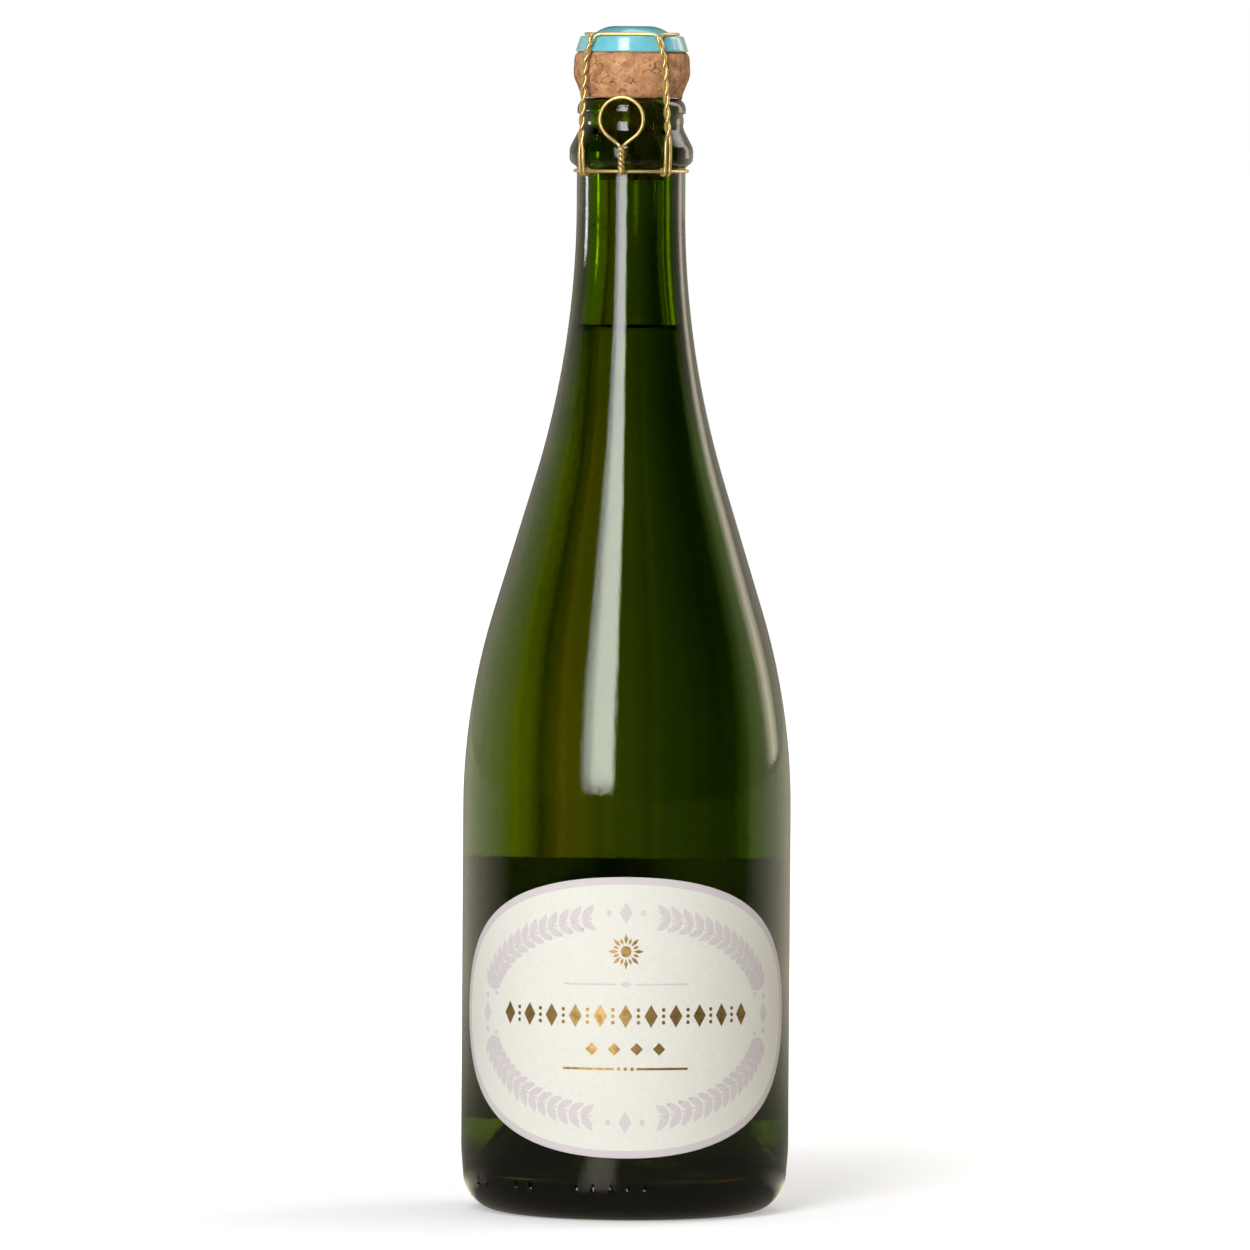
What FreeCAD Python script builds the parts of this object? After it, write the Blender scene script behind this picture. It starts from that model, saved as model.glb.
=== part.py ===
import FreeCAD, Part
import math
import os

# A stoppered bottle of sparkling wine: glass, wine, labels, cork, plaque and the wire cage that holds them.
# Millimetres, +Z up, the table at zero, the front label towards -Y.
# Azimuths run from the front (-Y) towards +X.

Vector = FreeCAD.Vector

# Glass, outside: each height is measured from the one below it
BODY_RADIUS = 44.2
BODY_HEIGHT = 135.7
SHOULDER_RISE = 97.0
NECK_RADIUS = 14.65
NECK_RISE = 48.7
COLLAR_RADIUS = 16.65
COLLAR_UNDERSIDE = 1.6
COLLAR_BAND = 3.5
COLLAR_SLOPE = 5.4
GROOVE_RADIUS = 13.9
GROOVE_HEIGHT = 3.9
LIP_RADIUS = 14.6
LIP_HEIGHT = 4.2
HEEL_RADIUS = 42.8
HEEL_HEIGHT = 16.5
HEEL_CURVE = 10.0
HEEL_BLEND = 60.0
SHOULDER_CURVE = 183.0
NECK_CURVE = 254.0
COLLAR_FOOT_CURVE = 0.6
COLLAR_LOWER_CURVE = 2.0
COLLAR_UPPER_CURVE = 4.0
LEDGE_CURVE = 0.3
GROOVE_CURVE = 4.0
LIP_CURVE = 3.0

# Glass, inside and underneath
BORE_RADIUS = 8.8
WALL = 4.8
FLOOR = 10.0
MOUTH_CURVE = 1.6
INNER_SHOULDER_DROP = 1.5
INNER_NECK_LIFT = 2.0
INNER_SHOULDER_CURVE = 170.0
INNER_NECK_CURVE = 214.0
INNER_HEEL_CURVE = 8.0
PUNT_RADIUS = 30.2
PUNT_HEIGHT = 36.0
PUNT_TOP = 7.0
PUNT_WALL = 8.0
PUNT_CURVE = 10.0
RING_EDGE = 2.0
DOT_RADIUS = 0.8
DOT_PROUD = 0.25
DOT_HEIGHT = 8.4
DOT_AZIMUTHS = (-64.2, -58.3, -41.7, -35.5, -17.3, -11.1, -5.0, 1.2, 7.3)

# Wine
FILL_DEPTH = 62.4
WINE_CLEARANCE = 0.05

# Labels: widths are measured along the glass
LABEL_THICKNESS = 0.09
LABEL_CLEARANCE = 0.05
FRONT_LABEL_WIDTH = 110.2
FRONT_LABEL_HEIGHT = 75.2
FRONT_LABEL_CENTRE = 55.1
FRONT_LABEL_POWER = 2.15
BACK_LABEL_WIDTH = 80.0
BACK_LABEL_HEIGHT = 71.5
BACK_LABEL_CENTRE = 58.0
BACK_LABEL_CORNER = 4.0

# Cork
CORK_CLEARANCE = 0.05
CORK_SEAT = 0.1
SHANK_LENGTH = 22.0
DISC_THICKNESS = 5.5
GLUE_LINE = 0.02
HEAD_RADIUS = 15.85
HEAD_NECK_RADIUS = 13.3
HEAD_BULGE_HEIGHT = 6.0
HEAD_SHOULDER_RADIUS = 15.4
HEAD_SHOULDER_HEIGHT = 11.3
HEAD_CROWN_RADIUS = 14.65
HEAD_CROWN_HEIGHT = 12.2
HEAD_TOP_RADIUS = 13.35
HEAD_HEIGHT = 16.1

# Plaque
PLAQUE_CLEARANCE = 0.15
PLAQUE_THICKNESS = 0.3
PLAQUE_SKIRT = 4.1
PLAQUE_DOME_RADIUS = 11.0
PLAQUE_DOME_TOP = 7.6
PLAQUE_DOME_HEIGHT = 2.7
PLAQUE_DOME_CURVE = 9.0

# Wire cage
WIRE_RADIUS = 0.45
STRAND_GAP = 0.06
CAGE_CLEARANCE = 0.3
CAGE_TURN = -8.2
LEG_SPREAD = 85.0
LEG_TOP_SPREAD = 74.0
LEG_TWIST_LENGTH = 26.0
LEG_HALF_TURNS = 7
LEG_TOP_RADIUS = 15.6
LEG_TOP_DROP = 1.6
LEG_TOP_LEAN = 25.0
RING_MID_RADIUS = 12.3
RING_CORNER_RADIUS = 14.9
RING_LIFT = 0.1
CORNER_ANGLE = 9.0
EYE_HALF_WIDTH = 0.75
EYE_REACH = 0.4
BELT_DROP = 1.0
BELT_CLEARANCE = 0.05
BELT_BUMP_ANGLE = 32.0
BELT_END_BEND = 1.0
ROOT_LENGTH = 1.2
STEM_LENGTH = 6.6
STEM_HALF_TURNS = 5
LOOP_RADIUS = 5.85
LOOP_APEX_ANGLE = 52.0
JOINT_GAP = 0.05
KNUCKLE_SKIN = 0.08

# Heights and radii that follow from the values above
SHOULDER_TOP = BODY_HEIGHT + SHOULDER_RISE
COLLAR_FOOT = SHOULDER_TOP + NECK_RISE
COLLAR_LOWER = COLLAR_FOOT + COLLAR_UNDERSIDE
COLLAR_UPPER = COLLAR_LOWER + COLLAR_BAND
GROOVE_FOOT = COLLAR_UPPER + COLLAR_SLOPE
LIP_FOOT = GROOVE_FOOT + GROOVE_HEIGHT
RIM = LIP_FOOT + LIP_HEIGHT
FILL_LEVEL = RIM - FILL_DEPTH
SHANK_RADIUS = BORE_RADIUS - CORK_CLEARANCE
SHANK_FOOT = RIM - SHANK_LENGTH
HEAD_FOOT = RIM + CORK_SEAT
CORK_TOP = HEAD_FOOT + HEAD_HEIGHT
PLAQUE_FLAT = CORK_TOP + PLAQUE_CLEARANCE + PLAQUE_THICKNESS
PLAQUE_FLAT_RADIUS = HEAD_TOP_RADIUS + PLAQUE_CLEARANCE + PLAQUE_THICKNESS
SKIRT_LEAN = (HEAD_CROWN_RADIUS - HEAD_TOP_RADIUS) / (HEAD_HEIGHT - HEAD_CROWN_HEIGHT)
SKIRT_RADIUS = PLAQUE_FLAT_RADIUS + PLAQUE_SKIRT * SKIRT_LEAN
STRAND_OFFSET = WIRE_RADIUS + STRAND_GAP / 2
LEG_RADIUS = COLLAR_RADIUS + CAGE_CLEARANCE + WIRE_RADIUS
LEG_TOP = PLAQUE_FLAT - LEG_TOP_DROP
LEG_CUT = (COLLAR_LOWER + COLLAR_UPPER) / 2
RING_HEIGHT = PLAQUE_FLAT + RING_LIFT + WIRE_RADIUS
BELT_HEIGHT = COLLAR_FOOT - BELT_DROP
BELT_RADIUS = NECK_RADIUS + BELT_CLEARANCE + WIRE_RADIUS
BELT_BUMP = 2 * WIRE_RADIUS + 2 * BELT_CLEARANCE
BELT_END = COLLAR_RADIUS + 2 * JOINT_GAP
ROOT_START = BELT_END + JOINT_GAP
ROOT_END = ROOT_START + ROOT_LENGTH
KNUCKLE_RADIUS = STRAND_OFFSET + WIRE_RADIUS + KNUCKLE_SKIN
KEY_RADIUS = ROOT_END + JOINT_GAP + KNUCKLE_RADIUS

# Azimuths of each leg at its top and at its foot
LEGS = tuple(
    (CAGE_TURN + way + side * LEG_TOP_SPREAD / 2, CAGE_TURN + way + side * LEG_SPREAD / 2)
    for way in (0.0, 180.0)
    for side in (-1, 1)
)


def polar(azimuth, radius, height, side=0.0):
    """Point at an azimuth and radius, moved sideways along the direction of rising azimuth."""
    turn = math.radians(azimuth)
    x = radius * math.sin(turn) + side * math.cos(turn)
    y = -radius * math.cos(turn) + side * math.sin(turn)
    return Vector(x, y, height)


def rounded_edges(corners):
    """Lines through corners (radius, height, rounding) with a tangent arc at each, eased where a line is short."""
    points = [Vector(radius, 0, height) for radius, height, rounding in corners]
    reaches = [0.0]
    for before, corner, after, (_, _, rounding) in zip(points, points[1:], points[2:], corners[1:]):
        turn = (corner - before).getAngle(after - corner)
        reaches.append(rounding * math.tan(turn / 2))
    reaches.append(0.0)
    shares = [1.0] * len(points)
    for i in range(len(points) - 1):
        length = (points[i + 1] - points[i]).Length
        wanted = reaches[i] + reaches[i + 1]
        if wanted > 0.98 * length:
            share = 0.98 * length / wanted
            shares[i] = min(shares[i], share)
            shares[i + 1] = min(shares[i + 1], share)
    edges = []
    last = points[0]
    for i in range(1, len(points) - 1):
        reach = reaches[i] * shares[i]
        if reach < 1e-6:
            edges.append(Part.makeLine(last, points[i]))
            last = points[i]
            continue
        before = (points[i - 1] - points[i]).normalize()
        after = (points[i + 1] - points[i]).normalize()
        start = points[i] + before * reach
        end = points[i] + after * reach
        edges.append(Part.makeLine(last, start))
        edges.append(arc_between(start, points[i], end))
        last = end
    edges.append(Part.makeLine(last, points[-1]))
    return edges


def arc_between(start, corner, end):
    """Arc from start to end whose tangents meet in the corner, or a line where the three lie in a row."""
    chord_middle = (start + end) * 0.5
    half = (end - start).getAngle(corner - start)
    if half < 1e-5:
        return Part.makeLine(start, end)
    middle = chord_middle + (corner - chord_middle) * (math.tan(half / 2) / math.tan(half))
    return Part.Arc(start, middle, end).toShape()


def turned(corners):
    """Solid turned about the bottle's axis from a profile that starts and ends on the axis."""
    edges = rounded_edges(corners)
    foot = Vector(corners[0][0], 0, corners[0][1])
    top = Vector(corners[-1][0], 0, corners[-1][1])
    edges.append(Part.makeLine(top, foot))
    face = Part.Face(Part.Wire(edges))
    return face.revolve(Vector(0, 0, 0), Vector(0, 0, 1), 360)


def cavity_corners(inset):
    """Inside of the bottle from the bore down to the punt, moved inwards by an inset."""
    top = FLOOR + inset
    shoulder = BODY_HEIGHT - INNER_SHOULDER_DROP
    crown = PUNT_HEIGHT + PUNT_WALL + inset
    lean = (PUNT_RADIUS - PUNT_TOP) / PUNT_HEIGHT
    foot = PUNT_TOP + inset + (crown - top) * lean
    return [
        (BORE_RADIUS - inset, SHOULDER_TOP + INNER_NECK_LIFT, INNER_NECK_CURVE),
        (BODY_RADIUS - WALL - inset, shoulder, INNER_SHOULDER_CURVE),
        (BODY_RADIUS - WALL - inset, top, INNER_HEEL_CURVE),
        (foot + PUNT_WALL / 2, top, INNER_HEEL_CURVE),
        (PUNT_TOP + PUNT_WALL / 2, crown, PUNT_CURVE),
        (0, crown, 0),
    ]


def glass_bottle():
    """Whole bottle as one turned piece, with the moulded dots on its heel."""
    corners = [
        (0, PUNT_HEIGHT, 0),
        (PUNT_TOP, PUNT_HEIGHT, PUNT_CURVE),
        (PUNT_RADIUS, 0, RING_EDGE),
        (HEEL_RADIUS, 0, HEEL_CURVE),
        (BODY_RADIUS, HEEL_HEIGHT, HEEL_BLEND),
        (BODY_RADIUS, BODY_HEIGHT, SHOULDER_CURVE),
        (NECK_RADIUS, SHOULDER_TOP, NECK_CURVE),
        (NECK_RADIUS, COLLAR_FOOT, COLLAR_FOOT_CURVE),
        (COLLAR_RADIUS, COLLAR_LOWER, COLLAR_LOWER_CURVE),
        (COLLAR_RADIUS, COLLAR_UPPER, COLLAR_UPPER_CURVE),
        (GROOVE_RADIUS, GROOVE_FOOT, GROOVE_CURVE),
        (GROOVE_RADIUS, LIP_FOOT, LEDGE_CURVE),
        (LIP_RADIUS, LIP_FOOT, LEDGE_CURVE),
        (LIP_RADIUS, RIM, LIP_CURVE),
        (BORE_RADIUS, RIM, MOUTH_CURVE),
    ]
    bottle = turned(corners + cavity_corners(0.0))
    taper = math.atan2(BODY_RADIUS - HEEL_RADIUS, HEEL_HEIGHT)
    middle = HEEL_RADIUS - HEEL_CURVE * math.tan(math.pi / 4 - taper / 2)
    reach = middle + math.sqrt(HEEL_CURVE ** 2 - (HEEL_CURVE - DOT_HEIGHT) ** 2)
    dots = [Part.makeSphere(DOT_RADIUS, polar(azimuth, reach + DOT_PROUD - DOT_RADIUS, DOT_HEIGHT))
            for azimuth in DOT_AZIMUTHS]
    return bottle.fuse(dots).removeSplitter()


def wine():
    """Liquid up to the fill level, a little clear of the glass."""
    corners = [(0, RIM, 0), (BORE_RADIUS - WINE_CLEARANCE, RIM, 0)] + cavity_corners(WINE_CLEARANCE)
    full = turned(corners)
    room = Part.makeCylinder(BODY_RADIUS, FILL_LEVEL)
    return full.common(room)


def label(outline, way):
    """Paper skin on the body, cut to an outline drawn in the upright plane and carried along a way."""
    inner = BODY_RADIUS + LABEL_CLEARANCE
    outer = inner + LABEL_THICKNESS
    prism = Part.Face(outline).extrude(Vector(0, 2 * outer * way, 0))
    box = outline.BoundBox
    foot = Vector(0, 0, box.ZMin - WALL)
    height = box.ZLength + 2 * WALL
    sleeve = Part.makeCylinder(outer, height, foot).cut(Part.makeCylinder(inner, height, foot))
    return sleeve.common(prism)


def across_view(along):
    """Distance from the middle, seen straight on, of a point some way along the glass."""
    return BODY_RADIUS * math.sin(along / BODY_RADIUS)


def front_label():
    """Oval label: a superellipse, a little squarer than an ellipse, drawn a quarter at a time."""
    edges = []
    for quarter in range(4):
        points = []
        for step in range(13):
            turn = math.pi / 2 * (quarter + step / 12)
            along = math.copysign(abs(math.cos(turn)) ** (2 / FRONT_LABEL_POWER), math.cos(turn))
            up = math.copysign(abs(math.sin(turn)) ** (2 / FRONT_LABEL_POWER), math.sin(turn))
            height = FRONT_LABEL_CENTRE + up * FRONT_LABEL_HEIGHT / 2
            points.append(Vector(across_view(along * FRONT_LABEL_WIDTH / 2), 0, height))
        leave = Vector(math.cos(math.pi / 2 * (quarter + 1)), 0, math.sin(math.pi / 2 * (quarter + 1)))
        arrive = Vector(math.cos(math.pi / 2 * (quarter + 2)), 0, math.sin(math.pi / 2 * (quarter + 2)))
        curve = Part.BSplineCurve()
        curve.interpolate(Points=points, InitialTangent=leave, FinalTangent=arrive)
        edges.append(curve.toShape())
    return label(Part.Wire(edges), -1)


def back_label():
    """Plain upright label with rounded corners on the far side."""
    half = across_view(BACK_LABEL_WIDTH / 2)
    foot = BACK_LABEL_CENTRE - BACK_LABEL_HEIGHT / 2
    top = BACK_LABEL_CENTRE + BACK_LABEL_HEIGHT / 2
    corners = [
        (0, foot, 0),
        (half, foot, BACK_LABEL_CORNER),
        (half, top, BACK_LABEL_CORNER),
        (-half, top, BACK_LABEL_CORNER),
        (-half, foot, BACK_LABEL_CORNER),
        (0, foot, 0),
    ]
    return label(Part.Wire(rounded_edges(corners)), 1)


def cork_body():
    """Agglomerate cork: the shank in the bore and the mushroom head above the rim."""
    foot = SHANK_FOOT + 2 * DISC_THICKNESS
    corners = [
        (0, foot, 0),
        (SHANK_RADIUS, foot, 0),
        (SHANK_RADIUS, HEAD_FOOT, 0.5),
        (HEAD_NECK_RADIUS, HEAD_FOOT, 0.8),
        (HEAD_RADIUS, HEAD_FOOT + HEAD_BULGE_HEIGHT, 7.0),
        (HEAD_SHOULDER_RADIUS, HEAD_FOOT + HEAD_SHOULDER_HEIGHT, 2.0),
        (HEAD_CROWN_RADIUS, HEAD_FOOT + HEAD_CROWN_HEIGHT, 0.4),
        (HEAD_TOP_RADIUS, CORK_TOP, 0.6),
        (0, CORK_TOP, 0),
    ]
    return turned(corners)


def cork_disc(foot):
    """Natural cork disc on the wine end of the stopper."""
    return Part.makeCylinder(SHANK_RADIUS, DISC_THICKNESS - GLUE_LINE, Vector(0, 0, foot))


def plaque():
    """Thin pressed cap: a dome, a flat groove for the wire ring and a leaning skirt."""
    top = PLAQUE_FLAT + PLAQUE_DOME_HEIGHT
    skirt_foot = PLAQUE_FLAT - PLAQUE_SKIRT
    skin = PLAQUE_THICKNESS
    corners = [
        (0, top - skin, 0),
        (PLAQUE_DOME_TOP - skin / 2, top - skin, PLAQUE_DOME_CURVE),
        (PLAQUE_DOME_RADIUS - skin / 2, PLAQUE_FLAT - skin, 0.8),
        (PLAQUE_FLAT_RADIUS - skin, PLAQUE_FLAT - skin, 0.3),
        (SKIRT_RADIUS - skin, skirt_foot, 0),
        (SKIRT_RADIUS, skirt_foot, 0),
        (PLAQUE_FLAT_RADIUS, PLAQUE_FLAT, 0.6),
        (PLAQUE_DOME_RADIUS, PLAQUE_FLAT, 0.5),
        (PLAQUE_DOME_TOP, top, PLAQUE_DOME_CURVE),
        (0, top, 0),
    ]
    return turned(corners)


def biarc(start, start_way, end, end_way):
    """Two arcs that leave start and reach end along the given unit ways."""
    span = end - start
    ways = start_way + end_way
    bend = 2 * (start_way.dot(end_way) - 1)
    if abs(bend) < 1e-9:
        reach = span.dot(span) / (2 * span.dot(ways))
    else:
        root = math.sqrt((2 * span.dot(ways)) ** 2 - 4 * bend * span.dot(span))
        reach = (2 * span.dot(ways) - root) / (2 * bend)
    first = start + start_way * reach
    second = end - end_way * reach
    joint = (first + second) * 0.5
    return [arc_between(start, first, joint), arc_between(joint, second, end)]


def wire_piece(stations):
    """Round wire through stations (point, way), each pair of them joined by a biarc."""
    ways = [Vector(way).normalize() for point, way in stations]
    points = [point for point, way in stations]
    edges = []
    for i in range(len(points) - 1):
        edges += biarc(points[i], ways[i], points[i + 1], ways[i + 1])
    path = Part.Wire(edges)
    section = Part.Wire(Part.makeCircle(WIRE_RADIUS, points[0], ways[0]))
    piece = path.makePipeShell([section], True, False)
    wanted = math.pi * WIRE_RADIUS ** 2 * path.Length
    print("wire length %.2f volume share %.4f" % (path.Length, piece.Volume / wanted))
    return piece


def station(curve, at, way=1.0):
    """Point and way of a curve, a function of one number, at a value of it."""
    step = 1e-4
    return curve(at), (curve(at + step) - curve(at - step)) * way


def twisted(strand, side, length, quarters):
    """Stations of a strand at its quarter turns, with its two ends along the middle line of the twist."""
    quarter = length / quarters
    places = {0.0, quarter / 2, length - quarter / 2, length}
    places.update(quarter * step for step in range(1, quarters))
    stations = [station(strand(side), place) for place in sorted(places)]
    stations[0] = (stations[0][0], station(strand(0.0), 0.0)[1])
    stations[-1] = (stations[-1][0], station(strand(0.0), length)[1])
    return stations


def leg_axis(along):
    """Radius, height and lean of a leg's middle line at a length below its top: an arc, then straight down."""
    lean = math.radians(LEG_TOP_LEAN)
    bow = (LEG_RADIUS - LEG_TOP_RADIUS) / (1 - math.cos(lean))
    if along < bow * lean:
        now = lean - along / bow
        radius = LEG_RADIUS - bow * (1 - math.cos(now))
        return radius, LEG_TOP - bow * (math.sin(lean) - math.sin(now)), now
    return LEG_RADIUS, LEG_TOP - bow * math.sin(lean) - (along - bow * lean), 0.0


def leg_strand(leg):
    """Curves of a leg's two twisted strands, each of which starts at the top on one side of the leg."""
    top, foot = leg

    def strand(side):
        def curve(along):
            radius, height, lean = leg_axis(along)
            azimuth = top + (foot - top) * along / LEG_TWIST_LENGTH
            turn = math.pi * LEG_HALF_TURNS * along / LEG_TWIST_LENGTH
            outward = STRAND_OFFSET * side * math.sin(turn)
            sideways = STRAND_OFFSET * side * math.cos(turn)
            return polar(azimuth, radius + outward * math.cos(lean), height + outward * math.sin(lean), sideways)
        return curve
    return strand


def leg_stations(leg, side):
    """Stations of a strand from the top of a leg to the cut above its eye."""
    stations = twisted(leg_strand(leg), side, LEG_TWIST_LENGTH, 2 * LEG_HALF_TURNS)
    foot_side = EYE_HALF_WIDTH * side * (-1) ** LEG_HALF_TURNS
    stations.append((polar(leg[1], LEG_RADIUS, LEG_CUT, foot_side), Vector(0, 0, -1)))
    return stations


def upwards(stations):
    """The same stations in the other order."""
    return [(point, way * -1) for point, way in reversed(stations)]


def ring_curve(first, second):
    """Curve of one side of the ring between two legs, nearer the middle halfway along."""
    half = (second - first) / 2

    def curve(azimuth):
        share = (azimuth - first - half) / half
        radius = RING_MID_RADIUS + (RING_CORNER_RADIUS - RING_MID_RADIUS) * share ** 2
        return polar(azimuth, radius, RING_HEIGHT)
    return curve


def cage_side(first, second):
    """One side of the body wire: up a leg, along the ring and down the next leg."""
    ring = ring_curve(first[0], second[0])
    near = first[0] + CORNER_ANGLE
    far = second[0] - CORNER_ANGLE
    across = [station(ring, near + (far - near) * step / 4) for step in range(5)]
    return wire_piece(upwards(leg_stations(first, 1.0)) + across + leg_stations(second, -1.0))


def cage_frame():
    """Ring and four twisted legs of the body wire, above the cut at the eyes."""
    top, foot = LEGS[0]
    following = LEGS[1:] + ((top + 360.0, foot + 360.0),)
    return Part.makeCompound([cage_side(first, second) for first, second in zip(LEGS, following)])


def cage_eye(azimuth):
    """Folded end of one leg: down outside the belt, under it and up behind it, where the wire turns back."""
    inner = BELT_RADIUS
    middle = inner + BELT_BUMP
    outer = middle + BELT_BUMP
    side = EYE_HALF_WIDTH
    down = Vector(0, 0, -1)
    inwards = polar(azimuth, -1, 0)
    half = [
        (polar(azimuth, LEG_RADIUS, LEG_CUT - JOINT_GAP, side), down),
        (polar(azimuth, outer, BELT_HEIGHT, side), down),
        (polar(azimuth, middle, BELT_HEIGHT - BELT_BUMP, side), inwards),
        (polar(azimuth, inner, BELT_HEIGHT, side), down * -1),
    ]
    across = polar(azimuth, 0, 0, -1)
    tip = [(polar(azimuth, inner, BELT_HEIGHT + EYE_REACH + side - STRAND_OFFSET), across)]
    shift = polar(azimuth, 0, 0, -2 * side)
    back = [(point + shift, way * -1) for point, way in reversed(half)]
    return wire_piece(half + tip + back)


def cage_eyes():
    """The four eyes, which bend open when the cage comes off."""
    return Part.makeCompound([cage_eye(foot) for top, foot in LEGS])


def belt_curve(azimuth):
    """Belt round the neck, pushed outwards where it runs through the eyes."""
    bump = 0.0
    for top, foot in LEGS:
        away = abs((azimuth - foot + 180.0) % 360.0 - 180.0)
        if away < BELT_BUMP_ANGLE:
            bump += BELT_BUMP * (1 + math.cos(math.pi * away / BELT_BUMP_ANGLE)) / 2
    return polar(azimuth, BELT_RADIUS + bump, BELT_HEIGHT)


def belt_wire():
    """Belt from one of its ends, which point outwards at the front, round to the other."""
    side = STRAND_OFFSET
    outwards = polar(CAGE_TURN, 1, 0)
    bend = math.degrees((side + BELT_END_BEND) / BELT_RADIUS)
    first = CAGE_TURN + bend
    last = CAGE_TURN + 360.0 - bend
    around = [station(belt_curve, first + (last - first) * step / 40) for step in range(41)]
    start = [
        (polar(CAGE_TURN, BELT_END, BELT_HEIGHT, side), outwards * -1),
        (polar(CAGE_TURN, BELT_RADIUS + BELT_END_BEND, BELT_HEIGHT, side), outwards * -1),
    ]
    end = [
        (polar(CAGE_TURN, BELT_RADIUS + BELT_END_BEND, BELT_HEIGHT, -side), outwards),
        (polar(CAGE_TURN, BELT_END, BELT_HEIGHT, -side), outwards),
    ]
    return wire_piece(start + around + end)


def root_strand(side):
    """Curve of one strand of the first quarter twist, along the outward way of the key."""
    def curve(along):
        turn = math.pi / 2 * along / ROOT_LENGTH
        sideways = STRAND_OFFSET * side * math.cos(turn)
        up = STRAND_OFFSET * side * math.sin(turn)
        return polar(CAGE_TURN, ROOT_START + along, BELT_HEIGHT + up, sideways)
    return curve


def key_root():
    """Start of the key's twist, about which the key turns."""
    return Part.makeCompound([wire_piece(twisted(root_strand, side, ROOT_LENGTH, 1)) for side in (1.0, -1.0)])


def stem_strand(side):
    """Curve of one strand of the key's upright stem."""
    def curve(along):
        turn = math.pi * STEM_HALF_TURNS * along / STEM_LENGTH
        sideways = STRAND_OFFSET * side * math.cos(turn)
        out = STRAND_OFFSET * side * math.sin(turn)
        return polar(CAGE_TURN, KEY_RADIUS + out, BELT_HEIGHT + along, sideways)
    return curve


def twist_key():
    """Stem and teardrop loop in one wire, with the bent end as a small knuckle."""
    quarter = STEM_LENGTH / (2 * STEM_HALF_TURNS)
    stem = [station(stem_strand(-1.0), quarter * step) for step in range(2 * STEM_HALF_TURNS + 1)]
    apex = math.radians(LOOP_APEX_ANGLE)
    side = -(-1.0) ** STEM_HALF_TURNS
    centre = BELT_HEIGHT + STEM_LENGTH + LOOP_RADIUS / math.sin(apex)

    def loop(turn):
        sideways = side * LOOP_RADIUS * math.sin(turn)
        return polar(CAGE_TURN, KEY_RADIUS, centre - LOOP_RADIUS * math.cos(turn), sideways)
    first = math.pi / 2 - apex
    last = 2 * math.pi - first
    around = [station(loop, first + (last - first) * step / 6) for step in range(7)]
    shift = polar(CAGE_TURN, KEY_RADIUS, 0)
    back = []
    for point, way in reversed(stem):
        mirror = shift * 2 - point
        back.append((Vector(mirror.x, mirror.y, point.z), Vector(way.x, way.y, -way.z)))
    outwards = polar(CAGE_TURN, 1.0, 0.0)
    knuckle = Part.makeSphere(KNUCKLE_RADIUS, polar(CAGE_TURN, KEY_RADIUS, BELT_HEIGHT), outwards)
    return wire_piece(stem + around + back).fuse(knuckle)


os.makedirs("parts", exist_ok=True)
pieces = {
    "glass_bottle": glass_bottle(),
    "wine": wine(),
    "front_label": front_label(),
    "back_label": back_label(),
    "cork_body": cork_body(),
    "cork_disc_upper": cork_disc(SHANK_FOOT + DISC_THICKNESS),
    "cork_disc_lower": cork_disc(SHANK_FOOT),
    "plaque": plaque(),
    "cage_frame": cage_frame(),
    "cage_eyes": cage_eyes(),
    "belt_wire": belt_wire(),
    "key_root": key_root(),
    "twist_key": twist_key(),
}
for name, shape in pieces.items():
    box = shape.BoundBox
    print("%-16s solids %d valid %s volume %.1f z %.2f to %.2f" % (
        name, len(shape.Solids), shape.isValid(), shape.Volume, box.ZMin, box.ZMax))
    shape.exportStep("parts/%s.step" % name)
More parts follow.
